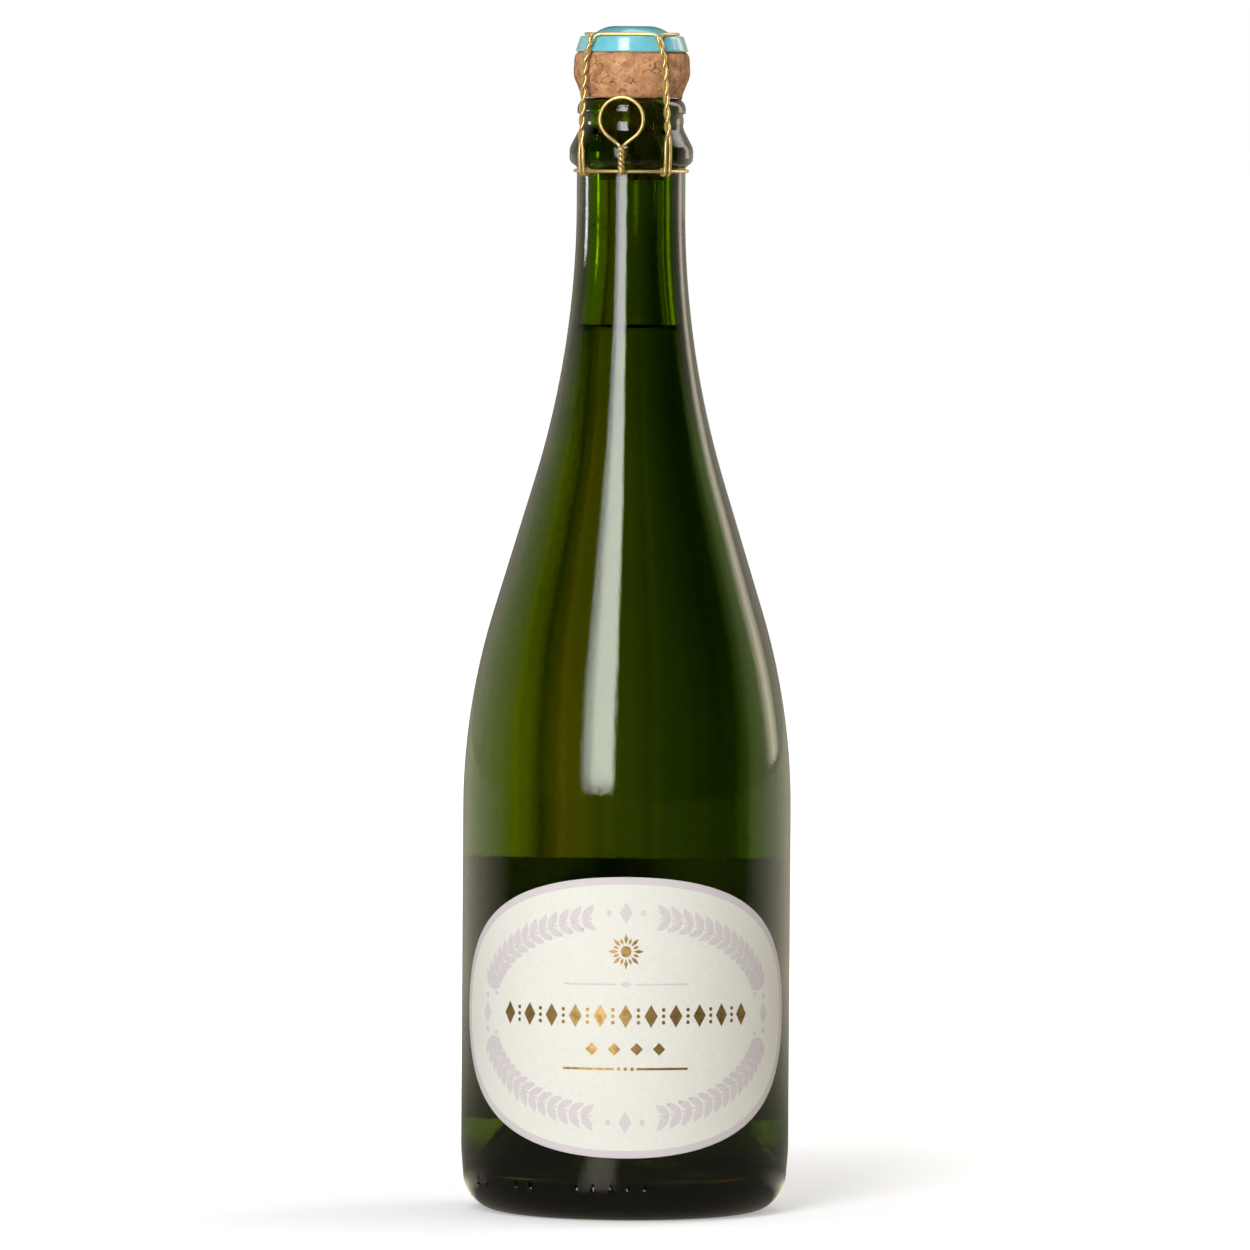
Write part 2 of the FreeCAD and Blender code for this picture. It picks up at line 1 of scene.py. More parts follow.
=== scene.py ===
import math
import bpy
import numpy as np
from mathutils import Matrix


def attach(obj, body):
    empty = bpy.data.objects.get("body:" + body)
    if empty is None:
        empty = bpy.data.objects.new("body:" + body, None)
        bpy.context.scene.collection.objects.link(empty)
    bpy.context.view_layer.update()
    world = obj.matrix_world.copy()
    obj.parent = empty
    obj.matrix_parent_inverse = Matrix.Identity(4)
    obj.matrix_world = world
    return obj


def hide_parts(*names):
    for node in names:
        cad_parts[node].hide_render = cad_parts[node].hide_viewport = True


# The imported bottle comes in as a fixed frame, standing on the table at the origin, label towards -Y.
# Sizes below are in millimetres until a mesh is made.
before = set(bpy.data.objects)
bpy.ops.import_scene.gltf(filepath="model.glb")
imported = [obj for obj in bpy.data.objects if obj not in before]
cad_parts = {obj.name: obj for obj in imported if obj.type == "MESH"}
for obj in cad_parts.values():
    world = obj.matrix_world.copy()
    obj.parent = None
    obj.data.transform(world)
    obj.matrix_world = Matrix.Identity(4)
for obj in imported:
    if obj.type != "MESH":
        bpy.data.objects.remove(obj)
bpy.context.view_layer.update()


# Glass bottle: one piece of dark green glass, blown in a two-part mould, with a punt under it.
# Turned from a profile of lines and arcs; the heel carries moulded dots, and two faint seams
# run up the sides where the halves of the mould met.
def rounded_profile(corners, step):
    """Points (radius, height) along straight runs whose corners (radius, height, rounding, arc points) are
    replaced by tangent arcs: an arc starts before its corner by the rounding times the tangent of half
    the turn."""
    spots = np.array([corner[:2] for corner in corners], float)
    runs = [spots[:1]]
    last = spots[0]
    for index in range(1, len(spots)):
        end = spots[index]
        rounding, arc_points = corners[index][2:]
        arc = None
        if index < len(spots) - 1 and rounding > 0:
            back = (spots[index - 1] - end) / np.linalg.norm(spots[index - 1] - end)
            ahead = (spots[index + 1] - end) / np.linalg.norm(spots[index + 1] - end)
            between = (back + ahead) / np.linalg.norm(back + ahead)
            turn = math.pi - math.acos(np.clip(back @ ahead, -1, 1))
            reach = rounding * math.tan(turn / 2)
            centre = end + between * rounding / math.cos(turn / 2)
            first = end + back * reach
            spoke = first - centre
            sweep = np.cross(spoke, end + ahead * reach - centre)
            angles = math.copysign(turn, sweep) * np.linspace(0, 1, arc_points)[1:, None]
            arc = centre + spoke * np.cos(angles) + np.array([-spoke[1], spoke[0]]) * np.sin(angles)
            end = first
        count = max(1, int(math.ceil(np.linalg.norm(end - last) / step)))
        runs.append(last + (end - last) * np.linspace(0, 1, count + 1)[1:, None])
        last = end
        if arc is not None:
            runs.append(arc)
            last = arc[-1]
    return np.concatenate(runs)


def around(radius, height, azimuth):
    """Points at a radius and height; azimuths in radians run from the front (-Y) towards +X."""
    return np.stack([radius * np.sin(azimuth), -radius * np.cos(azimuth), height + 0 * azimuth], axis=-1)


def sheet_faces(rows, columns, wrap):
    """Quads of a grid of points numbered row by row, the last column joined to the first where it wraps."""
    numbers = np.arange(rows * columns).reshape(rows, columns)
    if wrap:
        numbers = np.concatenate([numbers, numbers[:, :1]], axis=1)
    corners = [numbers[:-1, :-1], numbers[:-1, 1:], numbers[1:, 1:], numbers[1:, :-1]]
    return np.stack(corners, axis=-1).reshape(-1, 4)


def put_mesh(name, points, quads, triangles, body, material):
    """A piece from points in millimetres: a smooth mesh in metres with its body and material."""
    points = points.reshape(-1, 3) * 0.001
    loops = np.concatenate([quads.ravel(), triangles.ravel()]).astype(np.int32)
    sizes = np.concatenate([np.full(len(quads), 4), np.full(len(triangles), 3)]).astype(np.int32)
    mesh = bpy.data.meshes.new(name)
    mesh.vertices.add(len(points))
    mesh.vertices.foreach_set("co", points.astype(np.float32).ravel())
    mesh.loops.add(len(loops))
    mesh.loops.foreach_set("vertex_index", loops)
    mesh.polygons.add(len(sizes))
    mesh.polygons.foreach_set("loop_start", np.concatenate([[0], np.cumsum(sizes)[:-1]]).astype(np.int32))
    mesh.polygons.foreach_set("use_smooth", np.full(len(sizes), True))
    mesh.update(calc_edges=True)
    mesh.validate()
    piece = bpy.data.objects.new(name, mesh)
    bpy.context.scene.collection.objects.link(piece)
    piece.data.materials.append(material)
    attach(piece, body)
    return piece


def end_fans(rows, columns):
    """Triangles that close both ends of a wrapped grid on two more points, numbered after the grid's own."""
    ring = np.arange(columns)
    after = np.roll(ring, -1)
    last = (rows - 1) * columns
    first_fan = np.stack([np.full(columns, rows * columns), after, ring], axis=-1)
    last_fan = np.stack([np.full(columns, rows * columns + 1), last + ring, last + after], axis=-1)
    return np.concatenate([first_fan, last_fan])


def turned_piece(name, profile, azimuths, body, material, swell=None):
    """Closed surface turned about the axis from a profile that starts and ends on it, counter-clockwise
    in the half plane; swell adds an outward push for each profile point and azimuth."""
    radius = profile[1:-1, 0][:, None] + (0 if swell is None else swell[1:-1])
    grid = around(radius, profile[1:-1, 1][:, None], azimuths[None, :])
    rows, columns = grid.shape[:2]
    poles = np.array([[0, 0, profile[0, 1]], [0, 0, profile[-1, 1]]])
    points = np.concatenate([grid.reshape(-1, 3), poles])
    quads = sheet_faces(rows, columns, True)
    return put_mesh(name, points, quads, end_fans(rows, columns), body, material)


def new_material(name):
    """An empty node material with its nodes, links and Principled shader."""
    material = bpy.data.materials.new(name)
    material.use_nodes = True
    nodes = material.node_tree.nodes
    return material, nodes, material.node_tree.links, nodes["Principled BSDF"]


def feed(links, node, inputs, values):
    """A node's inputs, by name or number, each linked from a socket or set to a number, vector or colour."""
    for key, value in zip(inputs, values):
        if isinstance(value, bpy.types.NodeSocket):
            links.new(value, node.inputs[key])
        else:
            node.inputs[key].default_value = value


def clear_material(name, refraction, colour, density):
    """A clear material that bends light and colours it by absorption on its way through."""
    material, nodes, links, shader = new_material(name)
    shader.inputs["Base Color"].default_value = (1.0, 1.0, 1.0, 1.0)
    shader.inputs["Transmission Weight"].default_value = 1.0
    shader.inputs["IOR"].default_value = refraction
    tint = nodes.new("ShaderNodeVolumeAbsorption")
    feed(links, tint, ("Color", "Density"), (colour, density))
    links.new(tint.outputs["Volume"], nodes["Material Output"].inputs["Volume"])
    return material, nodes, links, shader


def object_place(nodes, links, scale=(1, 1, 1)):
    """Object coordinates stretched by a scale for each axis."""
    place = nodes.new("ShaderNodeTexCoord")
    mapping = nodes.new("ShaderNodeMapping")
    mapping.inputs["Scale"].default_value = scale
    links.new(place.outputs["Object"], mapping.inputs["Vector"])
    return mapping.outputs["Vector"]


def noise(nodes, links, place, scale, detail):
    """Fractal noise at a place, its value running from 0 to 1."""
    node = nodes.new("ShaderNodeTexNoise")
    feed(links, node, ("Vector", "Scale", "Detail"), (place, scale, detail))
    return node.outputs["Fac"]


def stretch(nodes, links, value, low, high, to_low, to_high):
    """A value mapped from one span to another and held inside it."""
    node = nodes.new("ShaderNodeMapRange")
    feed(links, node, range(5), (value, low, high, to_low, to_high))
    return node.outputs[0]


def bump(nodes, links, height, distance, strength, under=None):
    """Normal from a height, in metres of depth at full strength, over another normal where one is given."""
    node = nodes.new("ShaderNodeBump")
    feed(links, node, ("Height", "Distance", "Strength"), (height, distance, strength))
    if under is not None:
        links.new(under, node.inputs["Normal"])
    return node.outputs["Normal"]


glass, nodes, links, shader = clear_material("green_bottle_glass", refraction=1.52,
                                             colour=(0.667, 0.741, 0.10, 1.0), density=700.0)
place = object_place(nodes, links, (1, 1, 0.6))
ripple = noise(nodes, links, place, 60.0, 1.0)
pebble = noise(nodes, links, place, 900.0, 3.0)
wave = bump(nodes, links, ripple, 0.0003, 0.25)
links.new(bump(nodes, links, pebble, 0.00004, 0.5, wave), shader.inputs["Normal"])
handled = noise(nodes, links, object_place(nodes, links), 60.0, 4.0)
links.new(stretch(nodes, links, handled, 0.35, 0.75, 0.0, 0.035), shader.inputs["Roughness"])

outside = [
    (0.0, 36.0, 0, 0),
    (7.0, 36.0, 10.0, 9),
    (30.2, 0.0, 2.0, 8),
    (42.8, 0.0, 10.0, 56),
    (44.2, 16.5, 60.0, 6),
    (44.2, 135.7, 183.0, 20),
    (14.65, 232.7, 254.0, 28),
    (14.65, 281.4, 0.6, 5),
    (16.65, 283.0, 2.0, 8),
    (16.65, 286.5, 4.0, 8),
    (13.9, 291.9, 4.0, 8),
    (13.9, 295.8, 0.3, 4),
    (14.6, 295.8, 0.3, 5),
    (14.6, 300.0, 3.0, 10),
    (8.8, 300.0, 1.6, 8),
]
cavity = [
    (8.8, 234.7, 214.0, 26),
    (39.4, 134.2, 170.0, 20),
    (39.4, 10.0, 8.0, 10),
    (32.911, 10.0, 8.0, 10),
    (11.0, 44.0, 10.0, 9),
    (0.0, 44.0, 0, 0),
]
bottle_profile = rounded_profile(outside + cavity, 3.0)
radius, height = bottle_profile[:, :1], bottle_profile[:, 1:]
girth, dot_height, dot_rise, dot_width = 44.0, 8.4, 0.6, 0.46
seam_rise, seam_width = 0.05, 0.3
dots = np.radians([-64.2, -58.3, -41.7, -35.5, -17.3, -11.1, -5.0, 1.2, 7.3])
seams = np.radians([24.0, 204.0])
near_dot = np.linspace(-1.3, 1.3, 9) / girth
near_seam = np.array([-0.9, -0.45, -0.2, 0.0, 0.2, 0.45, 0.9]) / girth
columns = np.concatenate([np.radians(np.arange(-88.0, 272.0, 2.5)), (dots[:, None] + near_dot).ravel(),
                          (seams[:, None] + near_seam).ravel()])
columns = np.unique(np.round(columns, 5))


def along_girth(marks):
    """How far each column lies from each mark, in millimetres the short way round the body."""
    return ((columns[:, None] - marks + math.pi) % (2 * math.pi) - math.pi) * girth


from_dots = along_girth(dots) ** 2 + (height[..., None] - dot_height) ** 2
moulded = dot_rise * np.exp(-from_dots / dot_width ** 2).sum(axis=-1)
ridge = seam_rise * np.exp(-(along_girth(seams) / seam_width) ** 2).sum(axis=-1)
ridge = ridge * np.clip((radius - 16.0) / 10.0, 0, 1) * np.clip(height / 20.0, 0, 1)
skin = (np.arange(len(bottle_profile)) < bottle_profile[:, 1].argmax())[:, None]
outer_side = skin & (radius > 15.0) & (height > 3.0)
bottle = turned_piece("bottle_glass", bottle_profile, columns, "bottle", glass,
                      (moulded + ridge) * outer_side)
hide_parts("glass_bottle")


# Wine: pale gold sparkling wine up to the fill line in the neck.
# Its skin lies a hair inside the glass, so that the two meet with no air between,
# and its surface climbs the wall in a meniscus.
wine_colour, nodes, links, shader = clear_material("pale_gold_wine", refraction=1.34,
                                                   colour=(0.96, 0.85, 0.2, 1.0), density=9.0)
shader.inputs["Roughness"].default_value = 0.0
overlap, fill_line, meniscus, meniscus_reach = 0.12, 237.0, 2.0, 1.1
wall = rounded_profile(outside[-1:] + cavity, 3.0)[:-1]
wall = wall[wall[:, 1] < fill_line + meniscus]
along_wall = np.gradient(wall, axis=0)
along_wall /= np.linalg.norm(along_wall, axis=1)[:, None]
wall = wall + overlap * np.stack([-along_wall[:, 1], along_wall[:, 0]], axis=-1)
brim = wall[0, 0]
inwards = brim * (1 - np.linspace(0, 1, 16)[1:-1] ** 1.6)[::-1]
surface = np.stack([inwards, fill_line + meniscus * np.exp(-(brim - inwards) / meniscus_reach)], axis=-1)
wine_foot = [[0.0, cavity[-1][1] - overlap]]
wine_profile = np.concatenate([wine_foot, wall[::-1], surface[::-1], [[0.0, fill_line]]])
turns = np.radians(np.arange(0, 360, 2.5))
wine = turned_piece("wine_fill", wine_profile, turns, "bottle", wine_colour)
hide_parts("wine")


# Cork: an agglomerate of cork granules, pressed to a shank in the bore and a mushroom head above it.
# Two discs of natural cork are glued to its wine end.
def maths(nodes, links, operation, *values):
    """The result of a maths node on numbers or sockets."""
    node = nodes.new("ShaderNodeMath")
    node.operation = operation
    feed(links, node, range(3), values)
    return node.outputs[0]


def vectors(nodes, links, operation, *values):
    """The result of a vector maths node: a number for a length or a dot product, and otherwise a vector."""
    node = nodes.new("ShaderNodeVectorMath")
    node.operation = operation
    feed(links, node, range(3), values)
    return node.outputs["Value" if operation in ("LENGTH", "DOT_PRODUCT") else "Vector"]


def choose(nodes, links, share, first, second):
    """A value that goes from the first to the second as the share goes from 0 to 1."""
    node = nodes.new("ShaderNodeMix")
    feed(links, node, (0, 2, 3), (share, first, second))
    return node.outputs[0]


def blend(nodes, links, way, share, first, second):
    """A colour that goes from the first to the second, or to their product, as the share goes from 0 to 1."""
    node = nodes.new("ShaderNodeMix")
    node.data_type = "RGBA"
    node.blend_type = way
    feed(links, node, (0, 6, 7), (share, first, second))
    return node.outputs[2]


def ramp(nodes, links, value, *stops):
    """A colour between stops (position, colour) by a value, even between neighbours."""
    node = nodes.new("ShaderNodeValToRGB")
    elements = node.color_ramp.elements
    elements[0].position, elements[1].position = stops[0][0], stops[-1][0]
    elements[0].color, elements[1].color = stops[0][1] + (1,), stops[-1][1] + (1,)
    for position, colour in stops[1:-1]:
        elements.new(position).color = colour + (1,)
    links.new(value, node.inputs["Fac"])
    return node.outputs["Color"]


def granules():
    """Node group: cork granules of mixed and mottled browns, dark joints broken into short cracks, pits,
    half the brightness inside the neck as painted shade where the cork sits in the bore, and a height for the
    bump."""
    group = bpy.data.node_groups.new("cork_granules", "ShaderNodeTree")
    group.interface.new_socket("Size", in_out="INPUT", socket_type="NodeSocketFloat")
    group.interface.new_socket("Colour", in_out="OUTPUT", socket_type="NodeSocketColor")
    group.interface.new_socket("Height", in_out="OUTPUT", socket_type="NodeSocketFloat")
    nodes, links = group.nodes, group.links
    given = nodes.new("NodeGroupInput")
    put = nodes.new("NodeGroupOutput")
    place = nodes.new("ShaderNodeTexCoord").outputs["Object"]
    warp = nodes.new("ShaderNodeTexNoise")
    warp.inputs["Scale"].default_value = 260.0
    links.new(place, warp.inputs["Vector"])
    shift = vectors(nodes, links, "MULTIPLY_ADD", warp.outputs["Color"], (0.0022, 0.0022, 0.0022), place)
    cells, edges = nodes.new("ShaderNodeTexVoronoi"), nodes.new("ShaderNodeTexVoronoi")
    edges.feature = "DISTANCE_TO_EDGE"
    for node in (cells, edges):
        links.new(shift, node.inputs["Vector"])
        links.new(given.outputs["Size"], node.inputs["Scale"])
    tone = nodes.new("ShaderNodeSeparateColor")
    links.new(cells.outputs["Color"], tone.inputs[0])
    mottle = stretch(nodes, links, noise(nodes, links, place, 420.0, 5.0), 0.3, 0.7, 0.0, 0.5)
    cloud = maths(nodes, links, "MULTIPLY_ADD", tone.outputs["Red"], 0.5, mottle)
    browns = ramp(nodes, links, cloud, (0.05, (0.34, 0.155, 0.065)), (0.3, (0.47, 0.225, 0.095)),
                  (0.65, (0.63, 0.325, 0.15)), (0.95, (0.76, 0.42, 0.215)))
    broken = stretch(nodes, links, noise(nodes, links, place, 330.0, 2.0), 0.53, 0.62, 0.06, 1.0)
    joint = stretch(nodes, links, edges.outputs["Distance"], 0.0, 0.1, 0.35, 1.0)
    crack = choose(nodes, links, broken, 1.0, joint)
    pits = stretch(nodes, links, noise(nodes, links, place, 900.0, 6.0), 0.29, 0.40, 0.5, 1.0)
    marks = maths(nodes, links, "MULTIPLY", crack, pits)
    # Painted shade: below the glass's rim, inside the neck, the cork's colour is halved.
    upright = nodes.new("ShaderNodeSeparateXYZ")
    links.new(place, upright.inputs[0])
    painted_bore_shade = stretch(nodes, links, upright.outputs["Z"], 0.2985, 0.3002, 0.5, 1.0)
    dark = maths(nodes, links, "MULTIPLY", marks, painted_bore_shade)
    links.new(blend(nodes, links, "MULTIPLY", 1.0, browns, dark), put.inputs["Colour"])
    links.new(marks, put.inputs["Height"])
    return group


cork, nodes, links, shader = new_material("agglomerate_cork")
pressed = nodes.new("ShaderNodeGroup")
pressed.node_tree = granules()
pressed.inputs["Size"].default_value = 480.0
links.new(pressed.outputs["Colour"], shader.inputs["Base Color"])
links.new(bump(nodes, links, pressed.outputs["Height"], 0.0005, 0.7), shader.inputs["Normal"])
shader.inputs["Roughness"].default_value = 0.72
shader.inputs["Specular IOR Level"].default_value = 0.3
shank_and_head = [
    (0.0, 289.0, 0, 0),
    (8.75, 289.0, 0, 0),
    (8.75, 300.1, 0.5, 5),
    (13.3, 300.1, 0.8, 6),
    (15.85, 306.1, 7.0, 10),
    (15.4, 311.4, 2.0, 8),
    (14.65, 312.3, 0.4, 4),
    (13.35, 316.2, 0.6, 6),
    (0.0, 316.2, 0, 0),
]
cork_profile = rounded_profile(shank_and_head, 0.7)
height = cork_profile[:, 1:]
lumps = 0.05 * np.sin(7 * turns + 0.9 * height) * np.sin(3 * turns - 0.6 * height)
lumps = lumps * (height > 301.5) * (height < 312.0)
stopper = turned_piece("cork_stopper", cork_profile, turns, "cork", cork, lumps)
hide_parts("cork_body")

natural, nodes, links, shader = new_material("natural_cork")
streak = noise(nodes, links, object_place(nodes, links, (1, 0.25, 0.6)), 700.0, 5.0)
browns = ramp(nodes, links, streak, (0.36, (0.12, 0.055, 0.02)), (0.5, (0.36, 0.20, 0.095)))
links.new(browns, shader.inputs["Base Color"])
links.new(bump(nodes, links, streak, 0.0004, 0.5), shader.inputs["Normal"])
shader.inputs["Roughness"].default_value = 0.75
for name in ("cork_disc_upper", "cork_disc_lower"):
    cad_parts[name].data.materials.clear()
    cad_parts[name].data.materials.append(natural)


# Plaque: a thin tinplate cap pressed to a low dome with a groove for the wire ring,
# lacquered pale blue; it keeps the wire from cutting into the cork.
lacquer, nodes, links, shader = new_material("pale_blue_lacquer")
cloud = noise(nodes, links, object_place(nodes, links), 220.0, 3.0)
blues = ramp(nodes, links, cloud, (0.3, (0.17, 0.57, 0.65)), (0.7, (0.21, 0.65, 0.72)))
links.new(blues, shader.inputs["Base Color"])
links.new(stretch(nodes, links, cloud, 0.3, 0.7, 0.22, 0.34), shader.inputs["Roughness"])
shader.inputs["Coat Weight"].default_value = 1.0
shader.inputs["Coat Roughness"].default_value = 0.06
peel = noise(nodes, links, object_place(nodes, links), 900.0, 2.0)
links.new(bump(nodes, links, peel, 0.00004, 0.4), shader.inputs["Normal"])
skirt = 15.167
cap = [
    (0.0, 319.05, 0, 0),
    (7.45, 319.05, 9.0, 8),
    (10.85, 316.35, 0.8, 6),
    (13.5, 316.35, 0.3, 5),
    (skirt - 0.3, 312.55, 0, 0),
    (skirt, 312.55, 0, 0),
    (13.8, 316.65, 0.6, 8),
    (11.0, 316.65, 0.5, 6),
    (7.6, 319.35, 9.0, 10),
    (0.0, 319.35, 0, 0),
]
plaque = turned_piece("plaque_cap", rounded_profile(cap, 0.6), turns, "cage", lacquer)
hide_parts("plaque")


# Body wire of the cage: one gold-lacquered steel wire, 0.9 mm thick, bent to a ring round the plaque.
# At each of four corners its two strands turn down, are twisted together into a leg,
# and end in a folded eye that takes the belt.
def curve_between(start, start_way, end, end_way, count):
    """Cubic Hermite curve from start to end along the given ways, of which a longer one pulls more."""
    t = np.linspace(0, 1, count)[:, None]
    return ((2 * t ** 3 - 3 * t ** 2 + 1) * start + (t ** 3 - 2 * t ** 2 + t) * start_way
            + (3 * t ** 2 - 2 * t ** 3) * end + (t ** 3 - t ** 2) * end_way)


def chain(runs):
    """Runs of points joined end to end, without the points that two runs share."""
    points = np.concatenate([runs[0]] + [run[1:] for run in runs[1:]])
    keep = np.concatenate([[True], np.linalg.norm(np.diff(points, axis=0), axis=1) > 1e-6])
    return points[keep]


def ways_along(path, closed=False):
    """Unit directions of a path from the differences of its neighbours."""
    if closed:
        ways = np.roll(path, -1, axis=0) - np.roll(path, 1, axis=0)
    else:
        ways = np.gradient(path, axis=0)
    return ways / np.linalg.norm(ways, axis=1)[:, None]


def wire_surface(path, closed=False):
    """A circle carried along a path on a frame that never spins about it; a closed path's leftover turn
    is shared out along it. Gives the points, quads and end triangles."""
    ways = ways_along(path, closed)
    side = np.cross(ways[0], [0.3, 0.5, 0.8])
    side /= np.linalg.norm(side)
    carried = np.empty_like(path)
    for index, way in enumerate(ways):
        side = side - way * (side @ way)
        side /= np.linalg.norm(side)
        carried[index] = side
    third = np.cross(ways, carried)
    twist = np.zeros(len(path))
    if closed:
        home = carried[-1] - ways[0] * (carried[-1] @ ways[0])
        twist = -math.atan2(home @ third[0], home @ carried[0]) * np.linspace(0, 1, len(path))
    angles = np.linspace(0, 2 * math.pi, wire_sides, endpoint=False)[None, :] + twist[:, None]
    circle = np.cos(angles)[..., None] * carried[:, None] + np.sin(angles)[..., None] * third[:, None]
    points = (path[:, None] + wire_radius * circle).reshape(-1, 3)
    rows = len(path)
    quads = sheet_faces(rows, wire_sides, True)
    if closed:
        ring = np.arange(wire_sides)
        after = np.roll(ring, -1)
        last = (rows - 1) * wire_sides
        quads = np.concatenate([quads, np.stack([last + ring, last + after, after, ring], axis=-1)])
        return points, quads, np.zeros((0, 3), int)
    return np.concatenate([points, path[:1], path[-1:]]), quads, end_fans(rows, wire_sides)


def put_wires(name, surfaces, body):
    """One piece of gold wire from surfaces of points, quads and end triangles."""
    before = np.cumsum([0] + [len(surface[0]) for surface in surfaces])
    points = np.concatenate([surface[0] for surface in surfaces])
    quads = np.concatenate([surface[1] + count for surface, count in zip(surfaces, before)])
    caps = np.concatenate([surface[2] + count for surface, count in zip(surfaces, before)])
    return put_mesh(name, points, quads, caps, body, gold)


def beside(azimuth, radius, height, side=0.0):
    """A point at a radius and height, moved sideways along the direction of rising azimuth in degrees."""
    turn = np.radians(azimuth)
    return np.stack(np.broadcast_arrays(radius * np.sin(turn) + side * np.cos(turn),
                                        -radius * np.cos(turn) + side * np.sin(turn), height), axis=-1)


gold, nodes, links, shader = new_material("gold_lacquered_wire")
patches = noise(nodes, links, object_place(nodes, links), 500.0, 4.0)
golds = ramp(nodes, links, patches, (0.3, (0.74, 0.53, 0.18)), (0.65, (0.87, 0.65, 0.25)))
links.new(golds, shader.inputs["Base Color"])
shader.inputs["Metallic"].default_value = 0.7
links.new(stretch(nodes, links, patches, 0.3, 0.7, 0.33, 0.27), shader.inputs["Roughness"])
drawn = noise(nodes, links, object_place(nodes, links, (1, 1, 0.2)), 2500.0, 2.0)
links.new(bump(nodes, links, drawn, 0.00003, 0.2), shader.inputs["Normal"])

wire_radius, wire_sides = 0.45, 12
strand = 0.48
turned_by = -8.2
legs = turned_by + np.array([[-37.0, -42.5], [37.0, 42.5], [143.0, 137.5], [217.0, 222.5]])
leg_radius, leg_top_radius, leg_top = 17.4, 15.6, 315.05
lean = math.radians(25.0)
bow = (leg_radius - leg_top_radius) / (1 - math.cos(lean))
twist_length, half_turns = 26.0, 7
leg_cut, belt_height, belt_radius, belt_bump = 284.75, 280.4, 15.15, 1.0
ring_radius, ring_swell, ring_height, ring_corner = 12.3, 2.6, 317.2, 9.0
eye_half = 0.75
swap = (-1) ** half_turns
downwards = np.array([0.0, 0.0, -1.0])
twist_pull, foot_pull, eye_pull, corner_pull, ring_pull = 3.0, 5.0, 6.0, 3.8, 6.6


def leg_strand(leg, side):
    """A twisted strand of a leg from its top down: a helix about a line that bows out round the cork, an arc
    of 25 degrees and then a straight run, and that goes evenly from the top's azimuth to the foot's."""
    along = np.linspace(0, twist_length, 161)
    tilt = np.clip(lean - along / bow, 0, None)
    radius = leg_radius - bow * (1 - np.cos(tilt))
    height = leg_top - bow * (math.sin(lean) - np.sin(tilt)) - np.clip(along - bow * lean, 0, None)
    turn = math.pi * half_turns * along / twist_length
    out = strand * side * np.sin(turn)
    aside = strand * side * np.cos(turn)
    azimuth = leg[0] + (leg[1] - leg[0]) * along / twist_length
    return beside(azimuth, radius + out * np.cos(tilt), height + out * np.sin(tilt), aside)


def leg_foot(leg, side):
    """A strand below the twist, from its end to its place beside the other strand above the eye;
    an odd number of half turns brings the two out on changed sides."""
    top = leg_strand(leg, side)
    end = beside(leg[1], leg_radius, leg_cut, eye_half * side * swap)
    return curve_between(top[-1], twist_pull * ways_along(top)[-1], end, foot_pull * downwards, 16)


def ring_side(first, second):
    """One side of the ring, nearer the middle halfway along, with a smooth turn into the leg at each end."""
    angles = np.linspace(first[0] + ring_corner, second[0] - ring_corner, 60)
    share = (angles - (first[0] + second[0]) / 2) / ((second[0] - first[0]) / 2)
    side = beside(angles, ring_radius + ring_swell * share ** 2, ring_height)
    up = leg_strand(first, 1.0)
    down = leg_strand(second, -1.0)
    rise = -corner_pull * ways_along(up)[0]
    drop = corner_pull * ways_along(down)[0]
    along = ring_pull * ways_along(side)
    return chain([curve_between(up[0], rise, side[0], along[0], 18), side,
                  curve_between(side[-1], along[-1], down[0], drop, 18)])


def eye(azimuth):
    """The folded end of a leg: down outside the belt, half round under it, up behind it and back again."""
    outer = belt_radius + 2 * belt_bump
    near = -eye_half * swap
    under = np.linspace(0, math.pi, 20)
    down = curve_between(beside(azimuth, leg_radius, leg_cut, near), eye_pull * downwards,
                         beside(azimuth, outer, belt_height, near), foot_pull * downwards, 18)
    fold = beside(azimuth, belt_radius + belt_bump * (1 + np.cos(under)),
                  belt_height - belt_bump * np.sin(under), near)
    tip = np.linspace(0, math.pi, 18)
    back = beside(azimuth, belt_radius, belt_height + 0.6 * np.sin(tip), near * np.cos(tip))
    across = -2 * near * beside(azimuth, 0.0, 0.0, 1.0)
    return chain([down, fold, back, fold[::-1] + across, down[::-1] + across])


runs = []
for first, second in zip(legs, np.concatenate([legs[1:], legs[:1] + 360.0])):
    runs += [leg_foot(first, 1.0)[::-1], leg_strand(first, 1.0)[::-1], ring_side(first, second),
             leg_strand(second, -1.0), leg_foot(second, -1.0), eye(second[1])]
cage = put_wires("cage_body_wire", [wire_surface(chain(runs)[:-1], closed=True)], "cage")
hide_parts("cage_frame", "cage_eyes")


# Belt wire: the same wire round the neck under the collar, through the four eyes.
# Its ends meet at the front and turn outwards side by side into the key.
eye_reach, bend_room, belt_pull = 32.0, 1.0, 1.6
ends_out = np.array([16.0, 16.35, 16.75])


